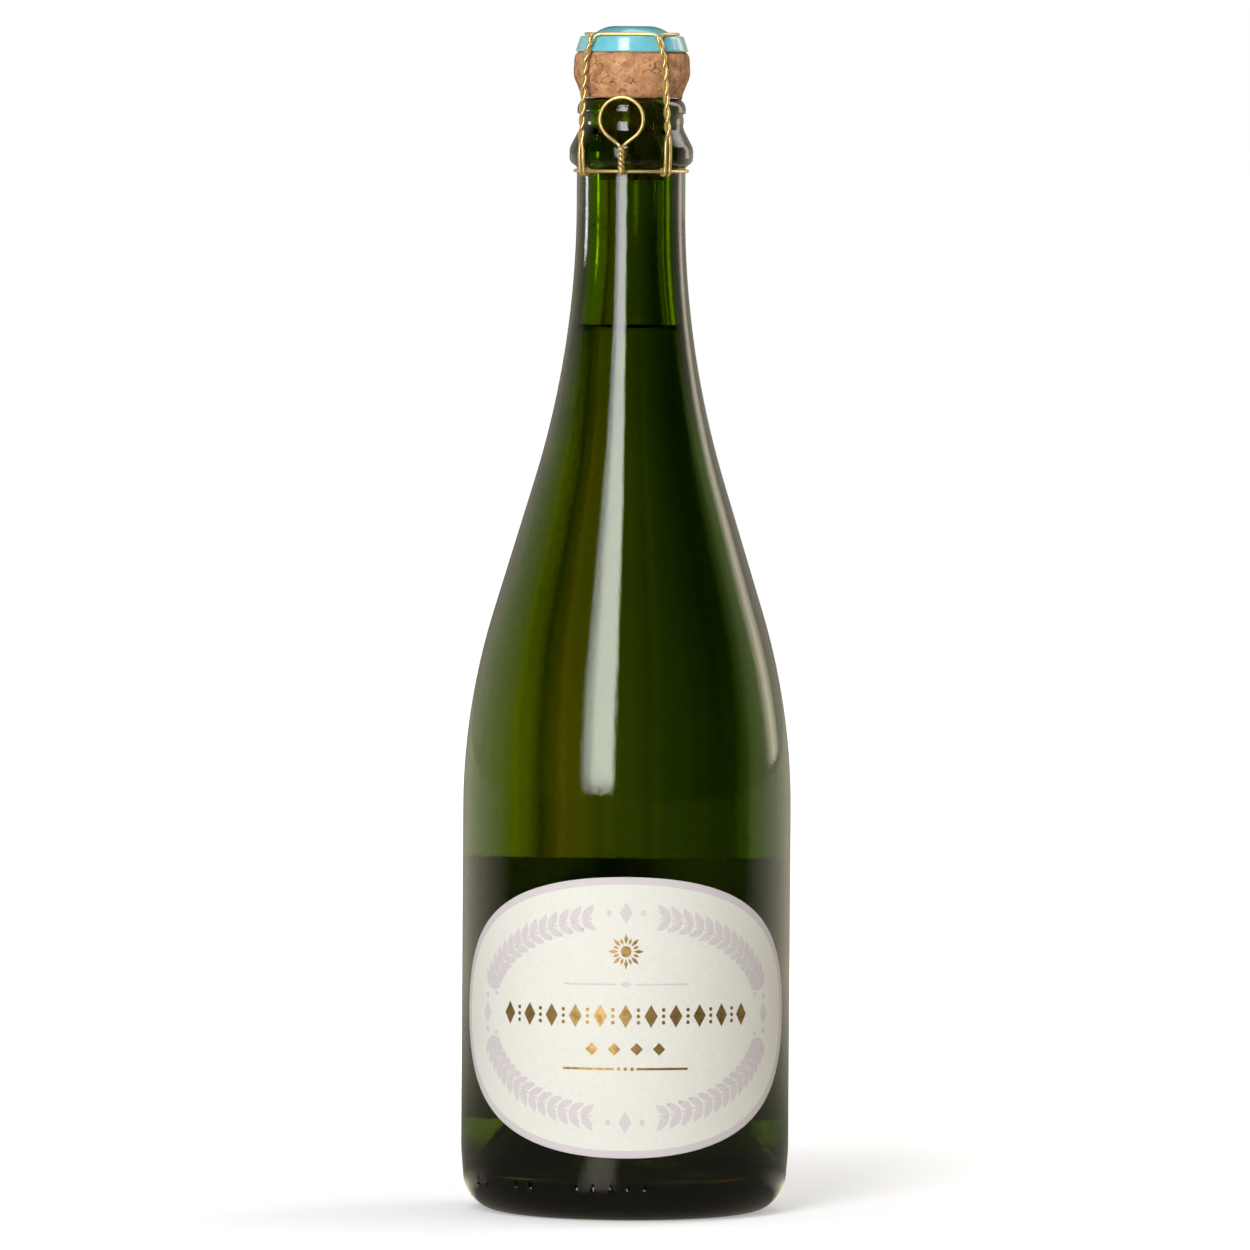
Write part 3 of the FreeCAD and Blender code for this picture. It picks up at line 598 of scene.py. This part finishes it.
def belt_line():
    """A circle on the neck that swells out by a raised cosine at each eye, its ends turned outwards."""
    bend = math.degrees((strand + bend_room) / belt_radius)
    angles = np.linspace(turned_by + bend, turned_by + 360.0 - bend, 420)
    away = np.abs((angles[:, None] - legs[:, 1] + 180.0) % 360.0 - 180.0)
    raised = belt_bump * (1 + np.cos(math.pi * away / eye_reach)) / 2
    swell = np.where(away < eye_reach, raised, 0).sum(axis=1)
    loop = beside(angles, belt_radius + swell, belt_height)
    outwards = beside(turned_by, 1.0, 0.0)
    along = belt_pull * ways_along(loop)
    start = beside(turned_by, ends_out[::-1], belt_height, strand)
    end = beside(turned_by, ends_out, belt_height, -strand)
    return chain([start, curve_between(start[-1], -belt_pull * outwards, loop[0], along[0], 12), loop,
                  curve_between(loop[-1], along[-1], end[0], belt_pull * outwards, 12), end])


belt = put_wires("cage_belt_wire", [wire_surface(belt_line())], "cage")
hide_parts("belt_wire")


# Key: the belt's two ends twisted together, first outwards (the root) and then up the neck (the stem),
# and closed in a teardrop loop for a finger. The root turns in the belt and the stem folds on the root.
root_start, root_length = 16.8, 1.2


def root_strand(side):
    """A quarter turn of a helix that runs straight out from the belt."""
    turn = np.linspace(0, math.pi / 2, 12)
    out = root_start + root_length * np.linspace(0, 1, 12)
    return beside(turned_by, out, belt_height + side * strand * np.sin(turn), side * strand * np.cos(turn))


root = put_wires("key_root_twist", [wire_surface(root_strand(side)) for side in (1.0, -1.0)], "key_base")
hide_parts("key_root")

key_radius, knuckle_radius = 19.06, 0.53
stem_length, stem_turns = 6.6, 5
loop_radius, apex, stem_pull = 5.85, math.radians(52.0), 0.6


def stem_strand(side):
    """One strand of the stem from the knuckle up: a helix of five half turns."""
    along = np.linspace(0, stem_length, 60)
    turn = math.pi * stem_turns * along / stem_length
    return beside(turned_by, key_radius + side * strand * np.sin(turn), belt_height + along,
                  side * strand * np.cos(turn))


def key_line():
    """Up one strand of the stem, round the loop and down the other strand; the curves between open
    from the stem to the loop's circle and touch it."""
    up, down = stem_strand(-1.0), stem_strand(1.0)[::-1]
    centre = belt_height + stem_length + loop_radius / math.sin(apex)
    angles = np.linspace(math.pi / 2 - apex, 1.5 * math.pi + apex, 100)
    loop = beside(turned_by, key_radius, centre - loop_radius * np.cos(angles), loop_radius * np.sin(angles))
    span = np.linalg.norm(loop[0] - up[-1])
    rise, touch = stem_pull * span * ways_along(up)[-1], span * ways_along(loop)
    drop = stem_pull * span * ways_along(down)[0]
    return chain([up, curve_between(up[-1], rise, loop[0], touch[0], 16), loop,
                  curve_between(loop[-1], touch[-1], down[0], drop, 16), down])


angles = np.linspace(0, 2 * math.pi, 40, endpoint=False)
knuckle = beside(turned_by, key_radius + knuckle_radius * np.cos(angles),
                 belt_height + knuckle_radius * np.sin(angles))
key = put_wires("key_stem_and_loop", [wire_surface(key_line()), wire_surface(knuckle, closed=True)], "key")
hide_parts("twist_key")


# Front label: cream felt-marked paper cut to an oval, wrapped on the body and glued down,
# with a mauve-grey printed border.
body_radius, front_middle = 44.2, 55.1
paper_back, paper_face, paper_rim = 0.03, 0.14, 3.0


def label_place(along, up, lift):
    """A point on the body's cylinder some way along the glass from the front, at a height and a lift
    off the glass."""
    return around(body_radius + lift, up, along / body_radius)


def label_sheet(name, width, height, middle, power, behind, node, material):
    """A superellipse of paper with evenly spaced points: rows step in from the edge along its normal as far
    as the rim and then shrink to the middle. The distance from the edge is kept as an attribute."""
    turn = np.linspace(0, 2 * math.pi, 6001)
    edge = np.stack([width / 2 * np.sign(np.cos(turn)) * np.abs(np.cos(turn)) ** (2 / power),
                     height / 2 * np.sign(np.sin(turn)) * np.abs(np.sin(turn)) ** (2 / power)], axis=-1)
    run = np.concatenate([[0.0], np.cumsum(np.linalg.norm(np.diff(edge, axis=0), axis=1))])
    count = 220
    spaced = np.linspace(0, run[-1], count, endpoint=False)
    edge = np.stack([np.interp(spaced, run, edge[:, 0]), np.interp(spaced, run, edge[:, 1])], axis=-1)
    way = np.roll(edge, -1, axis=0) - np.roll(edge, 1, axis=0)
    inwards = np.stack([-way[:, 1], way[:, 0]], axis=-1) / np.linalg.norm(way, axis=1)[:, None]
    steps = np.linspace(0, paper_rim, 13)
    shrink = np.linspace(1, 0, 26)[1:-1]
    inner = edge + paper_rim * inwards
    rows = np.concatenate([edge + step * inwards for step in steps] + [inner * share for share in shrink])
    well_inside = 3 * paper_rim
    from_edge = np.concatenate([np.repeat(steps, count), np.full(count * len(shrink), well_inside)])
    face = label_place(rows[:, 0], rows[:, 1] + middle, paper_face)
    under = label_place(edge[:, 0], edge[:, 1] + middle, paper_back)
    centre = label_place(np.zeros(1), np.full(1, middle), paper_face)
    points = np.concatenate([under, face, centre])
    quads = sheet_faces(len(steps) + len(shrink) + 1, count, True)
    ring = np.arange(count)
    last = (len(steps) + len(shrink)) * count
    fan = np.stack([last + ring, last + np.roll(ring, -1), np.full(count, last + count)], axis=-1)
    if behind:
        points = points * np.array([-1.0, -1.0, 1.0])
    piece = put_mesh(name, points, quads, fan, "bottle", material)
    distances = np.concatenate([np.zeros(count), from_edge, [well_inside]])
    mark = piece.data.attributes.new("from_edge", "FLOAT", "POINT")
    mark.data.foreach_set("value", distances.astype(np.float32))
    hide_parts(node)


def paper_material(name, border):
    """Felt-marked cream paper with a printed band of the border's width along its edge."""
    material, nodes, links, shader = new_material(name)
    felt = noise(nodes, links, object_place(nodes, links), 900.0, 3.0)
    fibre = noise(nodes, links, object_place(nodes, links, (1, 1, 0.4)), 3200.0, 2.0)
    paper = ramp(nodes, links, felt, (0.25, (0.82, 0.815, 0.70)), (0.75, (0.87, 0.866, 0.763)))
    edge = nodes.new("ShaderNodeAttribute")
    edge.attribute_name = "from_edge"
    band = stretch(nodes, links, edge.outputs["Fac"], border - 0.05, border + 0.05, 1.0, 0.0)
    printed = blend(nodes, links, "MIX", band, paper, (0.71, 0.65, 0.64, 1))
    links.new(printed, shader.inputs["Base Color"])
    shader.inputs["Roughness"].default_value = 0.8
    shader.inputs["Specular IOR Level"].default_value = 0.25
    under = bump(nodes, links, felt, 0.00018, 0.5)
    links.new(bump(nodes, links, fibre, 0.00003, 0.4, under), shader.inputs["Normal"])
    return material


label_sheet("front_label_paper", width=110.2, height=75.2, middle=front_middle, power=2.15, behind=False,
            node="front_label", material=paper_material("label_paper_front", border=2.0))


# Print on the front label: a generic design in mauve-grey ink, four leafy sprays round the oval
# with lozenges between them and a thin rule across.
def towards(angle):
    """Unit vectors on the flat label at angles from its level line."""
    return np.stack([np.cos(angle), np.sin(angle)], axis=-1)


def strokes(start, angle, length, width, shares):
    """Marks on the label: each runs from a start along an angle and is as wide as the shares of its width;
    gives a grid of three points across and one row for each share."""
    start = np.asarray(start, float).reshape(-1, 2)
    angle = np.broadcast_to(np.asarray(angle, float), len(start))
    length = np.broadcast_to(np.asarray(length, float), len(start))
    across = np.stack([-np.sin(angle), np.cos(angle)], axis=-1)
    steps = np.linspace(0, 1, len(shares))
    middle = start[:, None] + (length[:, None] * steps)[..., None] * towards(angle)[:, None]
    reach = (width / 2 * np.asarray(shares))[None, :, None] * across[:, None]
    return middle[:, :, None] + reach[:, :, None] * np.array([-1.0, 0.0, 1.0])[:, None]


def print_marks(name, marks, lift, material):
    """Marks laid on the label's curve at one lift, put together as one piece."""
    points, quads, count = [], [], 0
    for mark in marks:
        number, rows = mark.shape[:2]
        flat = mark.reshape(-1, 2)
        points.append(label_place(flat[:, 0], flat[:, 1] + front_middle, lift))
        block = np.arange(number)[:, None, None] * rows * 3 + sheet_faces(rows, 3, False)[:, ::-1]
        quads.append(block.reshape(-1, 4) + count)
        count += len(flat)
    put_mesh(name, np.concatenate(points), np.concatenate(quads), np.zeros((0, 3), int),
             "bottle", material)


ink, nodes, links, shader = new_material("mauve_ink")
laid = noise(nodes, links, object_place(nodes, links), 1600.0, 4.0)
mauves = ramp(nodes, links, laid, (0.3, (0.68, 0.635, 0.615)), (0.7, (0.76, 0.715, 0.675)))
links.new(mauves, shader.inputs["Base Color"])
shader.inputs["Roughness"].default_value = 0.75
shader.inputs["Specular IOR Level"].default_value = 0.25
links.new(bump(nodes, links, laid, 0.00006, 0.4), shader.inputs["Normal"])
share = np.linspace(0, 1, 9)
leaf = np.sin(math.pi * share ** 0.85)
lozenge = 1 - np.abs(2 * share - 1)
bead = np.sqrt(np.clip(1 - (2 * share - 1) ** 2, 0, 1))
bar = np.ones(61)
oval = np.array([43.0, 27.0])
turn = np.radians(np.linspace(14.0, 74.0, 14))
turn = np.concatenate([turn, math.pi - turn, math.pi + turn, 2 * math.pi - turn])
spray = oval * towards(turn)
climb = np.where(np.cos(turn) * np.sin(turn) > 0, 1.0, -1.0)
heading = np.arctan2(climb * oval[1] * np.cos(turn), -climb * oval[0] * np.sin(turn))
outer_leaf = strokes(spray, heading - climb * 0.75, 5.4, 2.3, leaf)
inner_leaf = strokes(spray, heading + climb * 0.8, 4.6, 2.0, leaf)
stems = strokes(spray, heading, 2.9, 0.5, np.ones(5))
berry_place = spray + 2.6 * towards(heading + climb * 1.7)
berries = strokes(berry_place - [0.6, 0.0], 0.0, 1.2, 1.2, bead)
sides = np.array([[43.5, 0.0], [-43.5, 0.0]])
ends = np.array([[0.0, 28.0], [0.0, -28.0]])
knots = strokes(np.concatenate([sides, ends]) - [0.0, 3.0], math.pi / 2, 6.0, 3.4, lozenge)
bead_gap = 4.6
side_beads = np.concatenate([sides + [0.0, bead_gap], sides - [0.0, bead_gap]])
end_beads = (ends[:, None] + [[bead_gap, 0.0], [-bead_gap, 0.0]]).reshape(-1, 2)
knot_beads = strokes(np.concatenate([side_beads, end_beads]) - [0.75, 0.0], 0.0, 1.5, 1.5, bead)
rule = strokes([[-17.0, 8.9], [2.6, 8.9]], 0.0, 14.4, 0.45, bar)
rule_knot = strokes([[-1.6, 8.9]], 0.0, 3.2, 1.7, lozenge)
print_marks("front_label_ink",
            [outer_leaf, inner_leaf, stems, berries, knots, knot_beads, rule, rule_knot],
            lift=0.17, material=ink)


# Foil on the front label: generic gold ornaments stamped into the paper, a sun over a band of lozenges
# and two smaller rows below.
def level_row(places, height):
    """Points at places along a level line."""
    return np.stack([places, np.full(len(places), height)], axis=-1)


foil, nodes, links, shader = new_material("gold_foil")
worn = noise(nodes, links, object_place(nodes, links), 700.0, 5.0)
golds = ramp(nodes, links, worn, (0.32, (0.40, 0.245, 0.075)), (0.62, (0.70, 0.47, 0.165)))
links.new(golds, shader.inputs["Base Color"])
shader.inputs["Metallic"].default_value = 0.85
links.new(stretch(nodes, links, worn, 0.3, 0.7, 0.5, 0.34), shader.inputs["Roughness"])
links.new(bump(nodes, links, worn, 0.0001, 0.5), shader.inputs["Normal"])
spin = np.linspace(0, 2 * math.pi, 16, endpoint=False)
heart = np.array([0.0, 17.7])
ray_feet = heart + 1.9 * towards(spin)
long_rays = strokes(ray_feet[::2], spin[::2], 2.9, 1.0, lozenge)
short_rays = strokes(ray_feet[1::2], spin[1::2], 1.9, 0.8, lozenge)
disc = strokes([heart - [1.5, 0.0]], 0.0, 3.0, 3.0, bead)
band_height, lozenge_places = 0.4, np.linspace(-34.0, 34.0, 11)
band = strokes(level_row(lozenge_places, band_height - 3.1), math.pi / 2, 6.2, 3.6, lozenge)
gaps = (lozenge_places[1:] + lozenge_places[:-1]) / 2
gap_dots = np.concatenate([level_row(gaps, band_height + lift) for lift in (-1.7, 0.0, 1.7)])
band_dots = strokes(gap_dots - [0.5, 0.0], 0.0, 1.0, 1.0, bead)
second_row = strokes(level_row(np.linspace(-9.0, 9.0, 4) - 1.7, -8.4), 0.0, 3.4, 3.4, lozenge)
third_row = strokes([[-17.0, -13.7], [3.0, -13.7]], 0.0, 14.0, 0.6, bar)
third_beads = strokes(level_row(np.linspace(-1.8, 1.8, 3) - 0.5, -13.7), 0.0, 1.0, 1.0, bead)
print_marks("front_label_foil",
            [long_rays, short_rays, disc, band, band_dots, second_row, third_row, third_beads],
            lift=0.18, material=foil)


# Back label: the same paper, upright and plain but for a thin printed border,
# glued on behind so that its top edge shows through the glass.
label_sheet("back_label_paper", width=80.0, height=71.5, middle=58.0, power=14.0, behind=True,
            node="back_label", material=paper_material("label_paper_back", border=0.8))


# Floor and backdrop: a wide pale table in a white room.
# The floor keeps the bottle's shadow and turns white away from it; the room is white to the camera,
# and in the glass it has darker and warmer parts, as the photograph's does.
def room_through_glass():
    """Node group: what stands behind the bottle as the glass shows it, by the sideways part of a direction:
    pale walls, something amber and something dark, with fine upright streaks. The wine turns left and right
    about and the empty neck doesn't, so the far part, which only the neck shows, has its sides
    changed over."""
    group = bpy.data.node_groups.new("room_through_glass", "ShaderNodeTree")
    group.interface.new_socket("Towards", in_out="INPUT", socket_type="NodeSocketVector")
    group.interface.new_socket("Colour", in_out="OUTPUT", socket_type="NodeSocketColor")
    nodes, links = group.nodes, group.links
    given = nodes.new("NodeGroupInput")
    put = nodes.new("NodeGroupOutput")
    level = vectors(nodes, links, "MULTIPLY", given.outputs["Towards"], (1, 1, 0))
    split = nodes.new("ShaderNodeSeparateXYZ")
    links.new(vectors(nodes, links, "NORMALIZE", level), split.inputs[0])
    sideways = split.outputs["X"]
    changed_over = stretch(nodes, links, vectors(nodes, links, "LENGTH", level), 5.0, 9.0, 1.0, -1.0)
    turned = maths(nodes, links, "MULTIPLY", changed_over, sideways)
    room = ramp(nodes, links, stretch(nodes, links, turned, -1.0, 1.0, 0.0, 1.0),
                (0.0, (0.30, 0.33, 0.28)), (0.215, (0.36, 0.42, 0.3)), (0.273, (0.40, 0.50, 0.3)),
                (0.324, (0.04, 0.07, 0.06)), (0.367, (0.02, 0.05, 0.05)), (0.405, (0.055, 0.085, 0.07)),
                (0.438, (0.09, 0.13, 0.1)), (0.47, (0.18, 0.19, 0.16)), (0.5, (0.25, 0.26, 0.2)),
                (0.53, (0.28, 0.27, 0.2)), (0.562, (0.42, 0.30, 0.2)), (0.595, (0.58, 0.33, 0.2)),
                (0.633, (0.07, 0.065, 0.05)), (0.676, (0.95, 0.72, 0.5)), (0.727, (0.72, 0.75, 0.6)),
                (0.785, (1.0, 1.0, 0.9)), (1.0, (1.0, 1.0, 0.9)))
    strip = nodes.new("ShaderNodeCombineXYZ")
    links.new(sideways, strip.inputs[0])
    streaks = stretch(nodes, links, noise(nodes, links, strip.outputs[0], 30.0, 4.0), 0.3, 0.7, 0.62, 1.35)
    links.new(blend(nodes, links, "MULTIPLY", 1.0, room, streaks), put.inputs["Colour"])
    return group


def white_or_room(nodes, links, seen, way):
    """White for the camera, warm white for other rays, or the room's colour where a ray has come
    through glass."""
    room = nodes.new("ShaderNodeGroup")
    room.node_tree = room_colours
    links.new(way, room.inputs["Towards"])
    warm = blend(nodes, links, "MIX", seen.outputs["Is Camera Ray"], (1.0, 0.93, 0.72, 1), (1, 1, 1, 1))
    return blend(nodes, links, "MIX", seen.outputs["Is Transmission Ray"], warm, room.outputs["Colour"])


def pale_sides(nodes, links, way):
    """How pale the room is for mirrored rays, by two soft parts behind on the left and on the right,
    each of which grows as a direction turns to it."""
    unit = vectors(nodes, links, "NORMALIZE", way)
    left = vectors(nodes, links, "DOT_PRODUCT", unit, (-0.72, 0.69, 0.0))
    right = vectors(nodes, links, "DOT_PRODUCT", unit, (0.70, 0.71, 0.0))
    return maths(nodes, links, "ADD", stretch(nodes, links, left, 0.7, 0.98, 0.0, 0.62),
                 stretch(nodes, links, right, 0.7, 1.0, 0.0, 0.7))


room_colours = room_through_glass()
floor_mesh = bpy.data.meshes.new("floor")
floor_mesh.from_pydata([(-30, -30, 0), (30, -30, 0), (30, 30, 0), (-30, 30, 0)], [], [(0, 1, 2, 3)])
floor = bpy.data.objects.new("floor", floor_mesh)
bpy.context.scene.collection.objects.link(floor)
pale, nodes, links, shader = new_material("pale_floor")
shader.inputs["Roughness"].default_value = 0.9
shader.inputs["Specular IOR Level"].default_value = 0.0
seen = nodes.new("ShaderNodeLightPath")
mirrored_ray, ray_through = seen.outputs["Is Glossy Ray"], seen.outputs["Is Transmission Ray"]
place = nodes.new("ShaderNodeTexCoord").outputs["Object"]
far = vectors(nodes, links, "LENGTH", place)
# Painted reflection: for mirrored rays the floor has no colour of its own and glows instead, brightest just
# beside the bottle, faint further out, and pale again far off towards two pale sides behind it.
near_and_far = maths(nodes, links, "ADD", stretch(nodes, links, far, 0.06, 0.11, 1.8, 0.1),
                     stretch(nodes, links, far, 0.3, 0.9, 0.0, 1.25))
# Painted pool of light: a glowing patch on the floor in front of the bottle, on the strip lamp's side, that
# only reflections show.
lamp_side = vectors(nodes, links, "DOT_PRODUCT", vectors(nodes, links, "NORMALIZE", place),
                    (-0.242, -0.970, 0.0))
lamp_reach = maths(nodes, links, "MULTIPLY", stretch(nodes, links, far, 0.055, 0.09, 0.0, 1.0),
                   stretch(nodes, links, far, 0.15, 0.4, 1.3, 0.0))
lamp_patch = maths(nodes, links, "MULTIPLY_ADD", stretch(nodes, links, lamp_side, 0.98, 0.998, 0.0, 1.0),
                   lamp_reach, stretch(nodes, links, far, 0.2, 0.9, 0.2, 0.01))
mirrored = maths(nodes, links, "MULTIPLY_ADD", pale_sides(nodes, links, place), near_and_far, lamp_patch)
# Painted shadow: seen through the glass, the floor glows at a tenth near the bottle, rising to full 0.3 m
# away.
shaded = stretch(nodes, links, far, 0.06, 0.3, 0.1, 1.0)
# Painted light: to the camera the floor glows over its lit colour, at 0.4 near the bottle and fully white
# from 0.5 m away.
lift = stretch(nodes, links, far, 0.08, 0.5, 0.4, 1.0)
lit = choose(nodes, links, mirrored_ray, 0.0, mirrored)
lit = choose(nodes, links, ray_through, lit, shaded)
lit = choose(nodes, links, seen.outputs["Is Camera Ray"], lit, lift)
grey = choose(nodes, links, mirrored_ray, 0.82, 0.0)
links.new(choose(nodes, links, ray_through, grey, 0.0), shader.inputs["Base Color"])
links.new(white_or_room(nodes, links, seen, place), shader.inputs["Emission Color"])
links.new(lit, shader.inputs["Emission Strength"])
floor_mesh.materials.append(pale)

world = bpy.data.worlds.new("white_room")
bpy.context.scene.world = world
world.use_nodes = True
nodes, links = world.node_tree.nodes, world.node_tree.links
sky = nodes["Background"]
seen = nodes.new("ShaderNodeLightPath")
way = nodes.new("ShaderNodeTexCoord").outputs["Generated"]
level = choose(nodes, links, seen.outputs["Is Glossy Ray"], 0.07, pale_sides(nodes, links, way))
level = choose(nodes, links, seen.outputs["Is Transmission Ray"], level, 1.0)
level = choose(nodes, links, seen.outputs["Is Camera Ray"], level, 1.0)
links.new(level, sky.inputs["Strength"])
beyond = vectors(nodes, links, "MULTIPLY", way, (100.0, 100.0, 100.0))
links.new(white_or_room(nodes, links, seen, beyond), sky.inputs["Color"])


# Studio light: a tall strip softbox to the left of the camera, which draws the long highlight,
# two weak panels on the right, one behind and one high up, an overhead one, and a small one far left
# that draws a short streak on the neck.
def softbox(name, place, target, width, height, power, soft, colour, spread=180.0):
    """A rectangular lamp that faces a target and fades over two shares of its width towards its long sides,
    and to under half over a third share, of its height, at its foot. Its light stays in a cone of the spread,
    in degrees."""
    lamp = bpy.data.lights.new(name, "AREA")
    lamp.shape = "RECTANGLE"
    lamp.size = width
    lamp.size_y = height
    lamp.energy = power
    lamp.color = colour
    lamp.spread = math.radians(spread)
    lamp.use_nodes = True
    nodes, links = lamp.node_tree.nodes, lamp.node_tree.links
    face = nodes.new("ShaderNodeNewGeometry")
    split = nodes.new("ShaderNodeSeparateXYZ")
    links.new(face.outputs["Parametric"], split.inputs[0])
    rise = stretch(nodes, links, split.outputs["X"], 0.0, soft[0], 0.0, 1.0)
    fall = stretch(nodes, links, split.outputs["X"], 1.0 - soft[1], 1.0, 1.0, 0.0)
    foot = stretch(nodes, links, split.outputs["Y"], 0.0, soft[2], 0.4, 1.0)
    across = maths(nodes, links, "MULTIPLY", rise, fall)
    links.new(maths(nodes, links, "MULTIPLY", across, foot), nodes["Emission"].inputs["Strength"])
    holder = bpy.data.objects.new(name, lamp)
    bpy.context.scene.collection.objects.link(holder)
    way = np.array(target, float) - np.array(place, float)
    way /= np.linalg.norm(way)
    holder.location = place
    holder.rotation_euler = (math.acos(-way[2]), 0.0, math.atan2(-way[0], way[1]))


softbox("strip_softbox", place=(-0.573, -1.494, 0.92), target=(0, 0, 0.5), width=0.8, height=1.6,
        power=40.5, soft=(0.42, 0.12, 0.06), colour=(1, 0.985, 1.04))
softbox("right_panel", place=(1.38, 1.1, 0.9), target=(0, 0, 0.3), width=0.8, height=1.6,
        power=12.0, soft=(0.5, 0.5, 0.01), colour=(1, 0.85, 0.68))
softbox("high_right_panel", place=(1.35, 0.63, 1.3), target=(0, 0, 0.29), width=1.0, height=0.8,
        power=9.0, soft=(0.5, 0.5, 0.01), colour=(1, 0.92, 0.88))
softbox("left_panel", place=(-0.951, 0.309, 0.272), target=(0, 0, 0.272), width=0.26, height=0.06,
        power=0.0027, soft=(0.1, 0.1, 0.4), colour=(1, 1, 1), spread=13.0)
softbox("top_panel", place=(0.2, 0.4, 2.2), target=(0, 0, 0.0), width=1.6, height=1.6,
        power=14.0, soft=(0.1, 0.1, 0.01), colour=(1, 1, 1))


# Camera: a long lens at about the height of the cork, looking a little down,
# rolled to the photograph's slight lean.
target = np.array([-0.0019, 0.0, 0.158])
eye_point = np.array([-0.0019, -3.5, 0.313])
picture_pixels, metres_per_pixel, roll = 1250.0, 0.0002697, -0.387
way = target - eye_point
distance = float(np.linalg.norm(way))
way /= distance
camera_data = bpy.data.cameras.new("camera")
camera_data.sensor_width = 36.0
camera_data.lens = camera_data.sensor_width / picture_pixels * distance / metres_per_pixel
camera = bpy.data.objects.new("camera", camera_data)
bpy.context.scene.collection.objects.link(camera)
camera.location = eye_point
camera.rotation_euler = (math.acos(-way[2]), math.radians(roll), 0.0)
bpy.context.scene.camera = camera
bpy.context.scene.view_settings.view_transform = "Standard"
